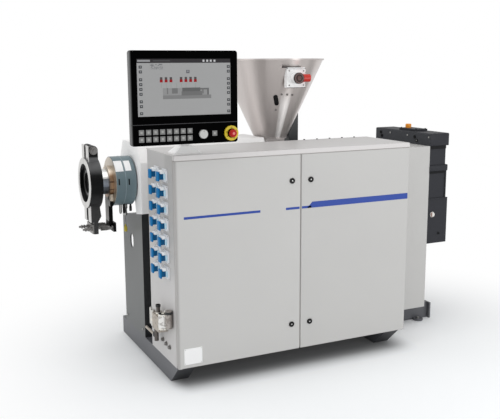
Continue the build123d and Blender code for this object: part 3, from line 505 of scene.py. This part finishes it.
def curved(x0, x1, rise, start, sweep, edges):
    """A strip bent round the heater cover, from an angle above the front, in degrees."""
    reach, turn = cover_radius + rise / 2, math.radians(start)
    place = ((x0 + x1) / 2, barrel_y - reach * math.cos(turn), barrel_z + reach * math.sin(turn))
    bpy.ops.object.select_all(action="DESELECT")
    bpy.ops.mesh.primitive_plane_add(size=1, location=spot(*place), rotation=(-turn, 0, 0))
    bpy.context.object.scale = ((x1 - x0) / 1000, rise / 1000, 1)
    bpy.ops.object.transform_apply(location=True, rotation=True, scale=True)
    bpy.ops.object.mode_set(mode="EDIT")
    bpy.ops.mesh.select_all(action="SELECT")
    bpy.ops.mesh.spin(steps=edges, angle=math.radians(sweep),
                      center=spot(0, barrel_y, barrel_z), axis=(1, 0, 0))
    bpy.ops.mesh.select_all(action="SELECT")
    bpy.ops.mesh.remove_doubles(threshold=1e-6)
    bpy.ops.mesh.normals_make_consistent(inside=False)
    bpy.ops.object.mode_set(mode="OBJECT")
    bpy.ops.object.shade_smooth_by_angle(angle=math.radians(30))
    return bpy.context.object


barrel_steel = bare_metal("barrel_steel", (150, 154, 160), 0.3, (8, 1, 1), grain=30)
x, y, z = barrel_steel.place()
neck_start, neck_end = -206, -100
at_neck = inside(x, neck_start, neck_end)
neck_lower_shade, neck_top_highlight = at_neck * (z < 1012), at_neck * (z > 1058)
# Painted shade on the neck's lower side and a painted highlight on its top.
barrel_steel.paint(neck_lower_shade, tone(112, 116, 122))
barrel_steel.paint(neck_top_highlight, tone(238, 238, 236))
# The barrel's end, inside the flange and clamp, is near black and not metallic.
barrel_steel.paint(x < neck_start, tone(10, 10, 11))
barrel_steel.feed("Metallic", x > neck_start)
dress(barrel_steel, "barrel", "feed_section")
copper_band = bare_metal("copper_band", (158, 130, 106), 0.36, (6, 1, 1), grain=24)
x, y, z = copper_band.place()
# Painted highlight: the band's top is painted pale.
copper_band.paint(copper_band.soft_step(z, 1072, 1104), tone(232, 220, 204))
band_joints = inside(z, 1036, 1044) + inside(z, 992, 997)
copper_band.paint(band_joints, tone(92, 74, 60))
dress(copper_band, "nozzle_band")
heater_enamel = painted("heater_enamel", (104, 122, 128), 0.38, coat=0.1)
x, y, z = heater_enamel.place()
end_disc = x < -126.7
heater_enamel.paint(end_disc, tone(206, 196, 182))
heater_enamel.feed("Metallic", end_disc * 0.8)
dress(heater_enamel, "heater_cover")
dress(zinc, "melt_probe")
strap_grey = painted("strap_grey", (140, 154, 160), 0.4, peel=2.0)
settle(curved(-72.6, -69.4, 0.8, -84, 336, 48), "heater_seam", strap_grey)
plates = joined([curved(-126, -79, 1.0, 29, 31, 8), curved(-68, -32, 1.0, 30, 29, 8)])
settle(plates, "heater_plates", plate_white)
slots = joined([curved(-116, -108, 0.6, -2, 14, 5), curved(-57, -49, 0.6, -3, 14, 5)])
settle(slots, "heater_slots", gloss_black)
terminal = joined([bar((-149, 684, 924), (-129, 716, 964), 3),
                   bar((-146, 676, 936), (-132, 686, 952), 1.5)])
terminal_cream = painted("terminal_cream", (214, 202, 184), 0.5, peel=3.0)
settle(terminal, "band_terminal", terminal_cream)
probe_x, probe_y = -42, 758
probe_nuts = joined([
    turned((probe_x, probe_y, 826), up, [(0, 15), (8, 15), (10, 13), (18, 13)], 6),
    turned((probe_x, probe_y, 862), up, [(0, 14), (6, 16), (20, 16), (25, 14)], 24),
    turned((-78, 728, 838), up, [(0, 5), (10, 8), (44, 8), (56, 9), (66, 9)], 20)])
settle(probe_nuts, "probe_fittings", zinc)
lead_caps = joined([turned((-64, 700, 846), up, [(0, 6), (4, 9), (30, 9), (34, 7), (56, 7)], 20),
                    turned((-20, 716, 852), up, [(0, 6), (3, 8), (28, 8), (32, 6), (46, 6)], 20)])
settle(lead_caps, "heater_lead_caps", gloss_black)
plug_yellow = painted("plug_yellow", (196, 178, 60), 0.45, peel=3.0)
plug = joined([bar((-50, 747, 721.8), (-34, 769, 751), 2.5),
               turned((probe_x, probe_y, 750), up, [(0, 8), (5, 8), (8, 5), (16, 5)], 16)])
settle(plug, "probe_plug", plug_yellow)

# Clamp ring: two cast halves, blackened, with machined bright front plates. Their colour is painted
# by height: a painted reflection low down, near black in the middle, a painted sheen near the top.
# A cross bolt with large nuts draws the upper lugs together. The lower lugs swing on two rods with
# coil springs.
ring_black = painted("ring_black", (7, 7, 8), 0.34, peel=2.0, gloss=0.16)
x, y, z = ring_black.place()
ring_foot, ring_height = 870, 320
# Painted reflection and painted sheen: the ring's colour is set by height.
ring_black.lay(ring_black.ramp((z - ring_foot) * (1 / ring_height), [
    (0.0, tone(62, 62, 62)), (0.27, tone(46, 46, 47)), (0.38, tone(14, 14, 15)),
    (0.55, tone(2, 2, 2)), (0.69, tone(26, 26, 27)), (0.79, tone(84, 84, 85)),
    (0.97, tone(110, 110, 111)), (1.0, tone(24, 24, 25))]))
dress(ring_black, "clamp_half_front", "clamp_half_rear")
arm_black = painted("arm_black", (14, 14, 15), 0.42, peel=2.0, gloss=0.1)
x, y, z = arm_black.place()
arm_face = (x < -150.6) * (z > 800)
arm_black.paint(arm_face, tone(196, 194, 190))
dress(arm_black, "hinge_arm")
# The end flange is near black with almost no gloss.
flange_black = painted("flange_black", (8, 8, 9), 0.42, peel=2.0, gloss=0.06)
dress(flange_black, "barrel_flange")
bright_face = bare_metal("bright_face", (216, 215, 213), 0.42, grain=14, wear=0.08)
dress(bright_face, "clamp_face_front", "clamp_face_rear")
dark_zinc = bare_metal("dark_zinc", (140, 138, 136), 0.38, grain=7)
dress(dark_zinc, "clamp_bolt", "clamp_hinge")
rods_y, rods_z, drive_end = (711.5, 804.5), 765, (1, 0, 0)
coil_turns, coil_pitch = 9, 4.4
coil = [(n * coil_pitch + dx, radius) for n in range(coil_turns)
        for dx, radius in ((0, 13.6), (1.1, 15.6), (3.1, 15.6))] + [(39.4, 13.6)]
springs = [turned((-205.4, y, rods_z), drive_end, coil, 28) for y in rods_y]
settle(joined(springs), "hinge_springs", dark_zinc)
rod_nuts = [turned((x, y, rods_z), drive_end, [(0, 10), (1, 11.5), (9, 11.5), (10, 10)], 6)
            for y in rods_y for x in (-299, -284, -163, -142)]
settle(joined(rod_nuts), "hinge_nuts", dark_zinc)
# The ring screws take the ring's finish with its painted sheen.
ring_screws = [turned((x, y, 1132), (0, tilt, 0.78), [(0, 8), (7, 8), (8, 7), (8, 4), (4, 3.6)], 20)
               for y, tilt in ((676, -0.62), (840, 0.62)) for x in (-258, -226)]
settle(joined(ring_screws), "ring_screws", ring_black)

# Heater sockets: two columns of seven blue plastic sockets on the end wall. Each has a broad pale
# wall flange with a raised frame and four screws, a deep blue neck with a pale block beside it, a
# rounded cap, and a light latch on the neck.
socket_pale = painted("socket_pale", (214, 216, 220), 0.4, peel=5.0)
socket_deep = painted("socket_deep", (0, 84, 128), 0.4, peel=5.0, gloss=0.2)
socket_mid = painted("socket_mid", (16, 112, 170), 0.42, peel=5.0, gloss=0.2)
socket_light = painted("socket_light", (250, 252, 254), 0.4, peel=5.0)
socket_cyan = painted("socket_cyan", (186, 222, 238), 0.4, peel=5.0)
column_y, top_row, pitch, rows = (158, 285), 1130, 87.5, 7
shifts = [(0, y - column_y[0], -row * pitch) for y in column_y for row in range(rows)][1:]


def socket_block(depths, widths, heights, edge, steps=2):
    """A rounded block of the first socket, measured from the wall and from the socket's middle."""
    return bar((depths[0], column_y[0] + widths[0], top_row + heights[0]),
               (depths[1], column_y[0] + widths[1], top_row + heights[1]), edge, steps)


flange = joined([socket_block((-5, 0.4), (-57, 32), (-30, 41), 2.5),
                 socket_block((-8, -4), (-24, 26), (-24, 26), 2)])
screws = joined([cap_screw((-5, column_y[0] + dy, top_row + dz), die_end, 3.4, 2)
                 for dy in (-50, 26) for dz in (-24, 35)])
neck = socket_block((-33, -6), (-16, 16), (-17, 14), 2.5)
cap = socket_block((-42, -31), (-18, 18), (-25, 26), 5, 3)
latch = socket_block((-28, -5), (-18, 18), (13, 33), 5)
side_block = socket_block((-12, -4), (-33, -15), (-16, 15), 3)
flanges = settle(spread(flange, shifts), "socket_flanges", socket_pale)
settle(spread(screws, shifts), "socket_screws", zinc)
for name, piece, finish in (("necks", neck, socket_deep), ("caps", cap, socket_mid),
                            ("latches", latch, socket_light), ("blocks", side_block, socket_cyan)):
    settle(spread(piece, shifts), f"socket_{name}", finish)
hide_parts("heater_sockets")

# Water manifold: a cast distributor low on the end wall with a polished strainer, a dull valve,
# plated risers, a dark hose tail and a dark drain. Union nuts and black caps sit on its pipes.
cast_metal = bare_metal("cast_metal", (188, 180, 170), 0.5, grain=7)
x, y, z = cast_metal.place()
strainer = inside(y, 100.9, 160.5)
valve = y < 100.9
hose_tail = inside(y, 203.9, 226.1) * (z > 362.1)
drain = inside(y, 242.9, 267.1) * (z < 273.9)
cast_metal.paint(strainer, tone(236, 235, 232))
cast_metal.paint(valve, tone(172, 166, 161))
cast_metal.paint(hose_tail + drain, tone(104, 99, 96))
stains = (cast_metal.grain(16) > 0.56) * (y < 280)
riser = (y > 280) * (z > 262)
cast_metal.paint(stains * 0.45, tone(112, 104, 98))
cast_metal.paint(riser, tone(214, 212, 208))
dress(cast_metal, "water_manifold")
pipes_x = -34
unions = joined([turned((pipes_x, y, z), up, steps, sides) for y, z, sides, steps in (
    (130, 304, 8, [(0, 26), (2, 31), (10, 31), (12, 28)]),
    (130, 380, 8, [(0, 28), (2, 31), (9, 31), (11, 27), (11, 12), (15, 11)]),
    (215, 362, 6, [(0, 15), (10, 15), (12, 13)]),
    (301, 300, 6, [(0, 17), (14, 17), (16, 15)]),
    (285, 264, 20, [(0, 7), (3, 9), (34, 9), (38, 7)]),
    (236, 268, 20, [(0, 7), (3, 8), (28, 8), (32, 6)]))])
polished_brass = bare_metal("polished_brass", (222, 218, 208), 0.22, grain=9)
settle(unions, "manifold_unions", polished_brass)
knobs = joined([
    turned((-22, 78, 398), up, [(0, 17), (2, 20), (17, 20), (20, 17), (20, 8), (18, 7)], 12),
    turned((pipes_x, 280, 214), up, [(0, 10), (4, 12), (22, 12), (26, 9)], 20),
    turned((pipes_x, 215, 404), up, [(0, 12), (3, 14), (12, 14), (14, 12)], 20)])
# The caps take the ring's finish; at their height it gives the grey of its painted reflection.
settle(knobs, "manifold_knobs", ring_black)
plug_steps = [(-1, 14), (2, 14), (3, 10), (12, 10), (13, 8), (13, 4), (7, 3)]
wall_plugs = [turned((0, y, z), die_end, plug_steps, 12)
              for y, z in ((238, 205), (185, 197), (130, 194))]
settle(joined(wall_plugs), "wall_fittings", dark_zinc)

# Thrust housing and hopper: a turned housing in black enamel, a square steel throat and an open
# cone of brushed stainless sheet with a turned rim, leaning on a black post. A painted reflection,
# a bright strip, runs down the cone's front from below a screwed clip, and a dark sight slot is let
# in beside it.
post_black = painted("post_black", (36, 40, 43), 0.4)
dress(post_black, "thrust_housing", "hopper_support")
brushed_cone = bare_metal("brushed_cone", (210, 203, 200), 0.4, (1, 1, 14), grain=60, wear=0.05)
brushed_cone.shader.inputs["Anisotropic"].default_value = 0.95
brushed_cone.shader.inputs["Anisotropic Rotation"].default_value = 0.25
x, y, z = brushed_cone.place()
hopper_x, hopper_y, strip_heading = 933, 758, math.radians(-92)
dx, dy = x - hopper_x, y - hopper_y
ahead = dx * math.cos(strip_heading) + dy * math.sin(strip_heading)
aside = dy * math.cos(strip_heading) - dx * math.sin(strip_heading)
from_strip = brushed_cone.make("ShaderNodeMath", {"operation": "ABSOLUTE"}, {
    0: brushed_cone.make("ShaderNodeMath", {"operation": "ARCTAN2"}, {0: aside, 1: ahead})})
# Painted reflection: a bright strip painted down the cone's front.
painted_reflection_strip = brushed_cone.soft_step(from_strip, 0.19, 0.12) * brushed_cone.soft_step(z, 1570, 1440)
brushed_cone.paint(painted_reflection_strip, tone(255, 252, 250))
dress(brushed_cone, "hopper_cone")
throat_steel = bare_metal("throat_steel", (196, 190, 188), 0.32, (1, 1, 6), grain=40)
dress(throat_steel, "hopper_throat")

foot_radius, cone_foot, mouth_radius, cone_mouth = 108, 1253, 334, 1737
sheet_thickness, sunk = 3, 1.5
flare = math.atan2(mouth_radius - foot_radius, cone_mouth - cone_foot)


def on_cone(angle, z):
    """A foot just under the cone's outer face, at an angle in degrees, and the way outwards."""
    radius = foot_radius + (z - cone_foot) * math.tan(flare) + sheet_thickness - sunk
    east, north = math.cos(math.radians(angle)), math.sin(math.radians(angle))
    outwards = Vector((east * math.cos(flare), north * math.cos(flare), -math.sin(flare)))
    return (hopper_x + radius * east, hopper_y + radius * north, z), outwards


sight = [turned(*on_cone(-109.0 + n * 0.6, 1508 - n * 9.5), [(0, 14), (3.4, 14), (4.2, 12)], 20)
         for n in range(5)]
settle(joined(sight), "sight_slot", gloss_black)
clip_screws = [turned(*on_cone(angle, z), [(0, 6), (4, 6), (5.5, 4.5)], 16)
               for angle, z in ((-100, 1524), (-91, 1522), (-82, 1520), (-107, 1430))]
settle(joined(clip_screws), "clip_screws", dark_zinc)

# Level sensor: a white box with a screwed lid on a steel bracket at the cone's front. Its round
# head is dark plastic with a pale foot and raised brown rings, and ends in a red cap.
dress(plate_white, "level_sensor")
knob_black = painted("knob_black", (30, 22, 20), 0.4, peel=3.0, gloss=0.25)
x, y, z = knob_black.place()
knob_foot = y > 403
knob_black.paint(knob_foot, tone(240, 240, 240))
dress(knob_black, "sensor_knob")
button_red = painted("button_red", (196, 46, 34), 0.3, peel=5.0)
dress(button_red, "sensor_cap")
sensor_frame = joined([bar((856, 433, 1682), (972, 474, 1690), 1.5),
                       bar((880, 438.5, 1564), (1008, 441, 1567), 0.8),
                       bar((880, 438.5, 1676), (1008, 441, 1679), 0.8)])
bracket_steel = bare_metal("bracket_steel", (88, 84, 84), 0.4, grain=8)
settle(sensor_frame, "sensor_frame", bracket_steel)
lid_screws = [cap_screw((x, 440.4, z), forward, 4.6, 3)
              for x, z in ((897, 1665), (994, 1664), (897, 1580), (994, 1580))]
settle(joined(lid_screws), "sensor_screws", dark_zinc)
knob_face = (939, 394, 1622)
knob_rings = joined([
    turned(knob_face, forward, [(0, 33), (3, 30), (3, 22), (0.6, 21)], 36),
    turned(knob_face, forward, [(0.4, 16), (4, 15), (5, 12), (5, 5), (3, 4)], 28)])
knob_brown = painted("knob_brown", (84, 56, 50), 0.4, peel=3.0)
settle(knob_rings, "sensor_rings", knob_brown)

# Drive housing and gearbox: a sheet housing in the cabinet's coat, and a cast gear case in dark
# grey enamel with a split flange, a head, an inspection plate, a breather and large screws. Painted
# light lightens the head's end face, and thin near-black strips on the case's front are a painted
# shadow under the head and the split flange, beside a dark vertical line and a dark drain hole.
dress(door_coat, "drive_housing")
case_enamel = painted("case_enamel", (47, 48, 53), 0.5, peel=3.5, mottle=0.08, gloss=0.25)
x, y, z = case_enamel.place()
case_end, case_end_skin, head_foot = 1862, 1862.6, 1180.5
# Painted light: the head's end face is painted lighter.
case_enamel.paint((x < case_end_skin) * (z > head_foot), tone(60, 62, 66))
dress(case_enamel, "gearbox_case", "gearbox_head", "gearbox_lid")
orange_cap = painted("orange_cap", (238, 148, 34), 0.35, peel=5.0)
dress(orange_cap, "breather_cap")
sight_bright = bare_metal("sight_bright", (226, 224, 220), 0.2, grain=5)
x, y, z = sight_bright.place()
glass_side = (x < 1897) * (y < 313)
sight_bright.paint(glass_side, tone(150, 128, 120))
dress(sight_bright, "oil_sight_glass")
case_ribs = joined([bar((case_end, 310, 1018), (2007, 316, 1052), 2),
                    bar((case_end, 312, 832), (2018, 316, 838), 1.5),
                    bar((case_end, 312, 1182), (2011, 316, 1258), 2)])
settle(case_ribs, "case_ribs", case_enamel)
case_dark = painted("case_dark", (24, 25, 27), 0.6, peel=3.0, gloss=0.2)
# Painted shadow: thin near-black strips under the head and the split flange, a dark vertical line
# and a dark drain hole.
shadow_marks = joined([bar((case_end, 314.2, 1160), (1992, 315.4, 1181), 0.4, 1),
                   bar((case_end, 314.2, 1000), (1992, 315.4, 1014), 0.4, 1),
                   bar((1991, 313.5, 838), (1995, 315.4, 1000), 0.6, 1),
                   turned((1958, 315, 598), forward, [(-1, 8), (1.2, 8), (1.2, 6), (0, 5.6)], 20)])
settle(shadow_marks, "case_shadow_marks", case_dark)
head_screws = [turned((case_end, y, z), die_end, [(-1, 11), (4, 11), (5, 9), (5, 5), (2, 4.6)], 20)
               for y, z in ((860, 1231), (847, 1208), (478, 1228), (455, 1206))]
settle(joined(head_screws), "head_screws", case_dark)
head_plugs = [turned((case_end, y, z), die_end, [(-1, 6), (3, 6), (4, 4.5)], 16)
              for y, z in ((748, 1236), (555, 1234), (455, 1206), (330, 1236))]
settle(joined(head_plugs), "head_plugs", zinc)
lid_bolts = [hex_bolt((x, y, 1274), up, 9, 4) for x in (1899, 1975) for y in (515, 675)]
end_bolts = [hex_bolt((2008, y, 1035), drive_end, 17, 9) for y in (360, 460, 560, 675, 775, 875)]
rear_bolts = [hex_bolt((x, 920, 1035), (0, 1, 0), 17, 9) for x in (1884, 1934, 1984)]
settle(joined(lid_bolts + end_bolts + rear_bolts), "case_bolts", case_dark)

# Operator panel: a slim black housing with a light grey rear shell, on a white flared foot and
# neck.
# Its left side face is painted grey as painted light, and a painted highlight lies along its
# bezel's bend. Its screen shows a plain machine diagram. Two rows of keys, a white dial and a
# yellow collar round a red mushroom button, with a painted highlight on its crown, lie below it.
panel_black = painted("panel_black", (3, 3, 4), 0.5, peel=2.5, gloss=0.02)
x, y, z = panel_black.place()
panel_side_light, rear_shell, bezel = x < -233.5, y > -14, y < -18
# Painted light: the housing's left side face is painted grey.
panel_black.paint(panel_side_light, tone(150, 150, 150))
panel_black.paint(rear_shell, tone(214, 213, 211))
bezel_bend_highlight = panel_black.soft_step(x, -224, -234)
# Painted highlight along the bezel's bend.
panel_black.paint(bezel_bend_highlight * bezel * 0.8, tone(120, 120, 120))
dress(panel_black, "panel_housing")
foot_coat = painted("foot_coat", (254, 254, 253), 0.4)
dress(foot_coat, "swivel_foot", "swivel_neck")

screen_glass = painted("screen_glass", (161, 161, 161), 0.3, peel=9.0, mottle=0.01, gloss=0.06)
x, y, z = screen_glass.place()
screen_left, screen_top = -197, 1733
across, down = x - screen_left, screen_top - z


def shows(left, right, top, bottom, colour):
    """A patch on the screen, in millimetres from its upper left corner."""
    screen_glass.paint(inside(across, left, right) * inside(down, top, bottom), tone(*colour))


shows(0, 490, 0, 20, (58, 56, 58))
shows(4, 68, 5, 14, (150, 150, 152))
shows(82, 170, 8, 12, (84, 84, 86))
for dot in (345, 365, 384, 404):
    shows(dot - 5, dot + 5, 5, 15, (196, 196, 198))
for left, right, top, bottom, grey in (
        (129, 372, 141, 192, 144), (129, 384, 176, 194, 128), (176, 206, 142, 168, 116),
        (150, 156, 140, 170, 118), (230, 326, 140, 158, 100), (226, 336, 158, 178, 112),
        (326, 372, 144, 150, 104), (334, 344, 150, 170, 120), (362, 372, 148, 176, 108)):
    shows(left, right, top, bottom, (grey, grey, grey))
shows(252, 270, 54, 70, (104, 104, 108))
shows(256, 266, 57, 64, (140, 140, 144))
for left in (122, 147, 172, 225, 250, 275, 300):
    shows(left - 6.5, left + 6.5, 88, 100, (84, 78, 78))
    shows(left - 7.5, left + 7.5, 100, 113, (148, 36, 40))
for left in (122, 147, 172, 200, 225, 250, 300):
    shows(left - 1, left + 1, 116, 140, (138, 150, 142))
for column in (18, 479):
    for row in (32, 55, 92, 115, 138, 161, 197, 220, 254):
        shows(column - 8, column + 8, row, row + 14, (72, 73, 75))
        shows(column - 3, column + 4, row + 4, row + 9, (150, 151, 153))
speckle = screen_glass.grain(9, (1, 1, 3)) > 0.52
screen_glass.paint(inside(across, 66, 132) * inside(down, 24, 50) * speckle, tone(120, 121, 123))
dress(screen_glass, "panel_screen")
seam_grey = painted("seam_grey", (48, 48, 50), 0.4, peel=3.0)
panel_seam = bar((-233.6, -50.3, 1415.6), (330.6, -49.6, 1418.4), 0.2, 1)
settle(panel_seam, "panel_seam", seam_grey, "panel")
key_cap = painted("key_cap", (118, 118, 117), 0.45, peel=3.0)
dress(key_cap, "panel_keys")
key_light = painted("key_light", (158, 158, 155), 0.45, peel=3.0)
key_places = [(-183 + 36 * n, z) for z in (1380, 1345) for n in range(8)] + [(203, 1362.5)]
insets = [bar((x - 6, -52.1, z - 6), (x + 6, -51.3, z + 6), 0.5, 1) for x, z in key_places]
settle(joined(insets), "key_insets", key_light, "panel")
dial_white = painted("dial_white", (193, 193, 191), 0.35, peel=5.0)
dress(dial_white, "panel_dial")
dial_mark = bar((137.8, -64.9, 1372), (140.2, -64.2, 1381), 0.3, 1)
settle(dial_mark, "dial_mark", key_cap, "dial")
collar_yellow = painted("collar_yellow", (214, 190, 44), 0.35, peel=5.0)
dress(collar_yellow, "stop_collar")
collar_brown = painted("collar_brown", (158, 132, 24), 0.4, peel=4.0)
stop_x, stop_z, marks_radius, mark = 293, 1360, 29, 3.4
marks = []
for turn in (0.5, 1.6, 2.9, 3.7, 5.2):
    x, z = stop_x + marks_radius * math.cos(turn), stop_z + marks_radius * math.sin(turn)
    marks.append(bar((x - mark, -60.6, z - mark), (x + mark, -59.8, z + mark), 0.3, 1))
settle(joined(marks), "collar_marks", collar_brown, "panel")
mushroom_red = painted("mushroom_red", (172, 34, 34), 0.36, peel=5.0, gloss=0.2)
x, y, z = mushroom_red.place()
dx, dz, crown_radius = x - stop_x, z - stop_z, 7
# Painted highlight: a pale patch on the mushroom's crown.
crown = (dx * dx + dz * dz < crown_radius ** 2) * (y < -80)
mushroom_red.paint(crown * 0.7, tone(236, 150, 146))
dress(mushroom_red, "stop_button")
